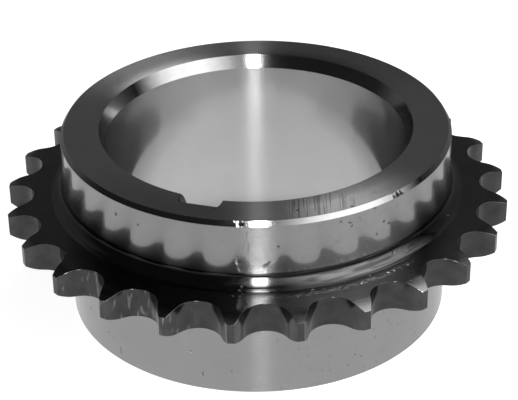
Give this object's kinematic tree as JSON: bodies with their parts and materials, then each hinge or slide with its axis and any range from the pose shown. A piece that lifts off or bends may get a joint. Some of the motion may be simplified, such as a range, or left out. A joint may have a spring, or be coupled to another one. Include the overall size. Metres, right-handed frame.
{
  "type": "chain sprocket",
  "caption": "Steel sprocket for a simple roller chain: a toothed ring between a short and a tall round hub, with a wide keyed bore.",
  "frame": {"origin": "on the bore axis, in the middle plane of the toothed ring", "axes": "+Z along the bore axis towards the shorter hub, whose bore mouth has the long lead-in; the keyway lies on the -Y side"},
  "size_m": [0.078, 0.0781, 0.0296],
  "materials": {
    "steel": "ground and turned steel, bright on the hubs and dark on the toothed ring"
  },
  "bodies": {
    "root": {"sprocket": "steel"}
  },
  "joints": []
}
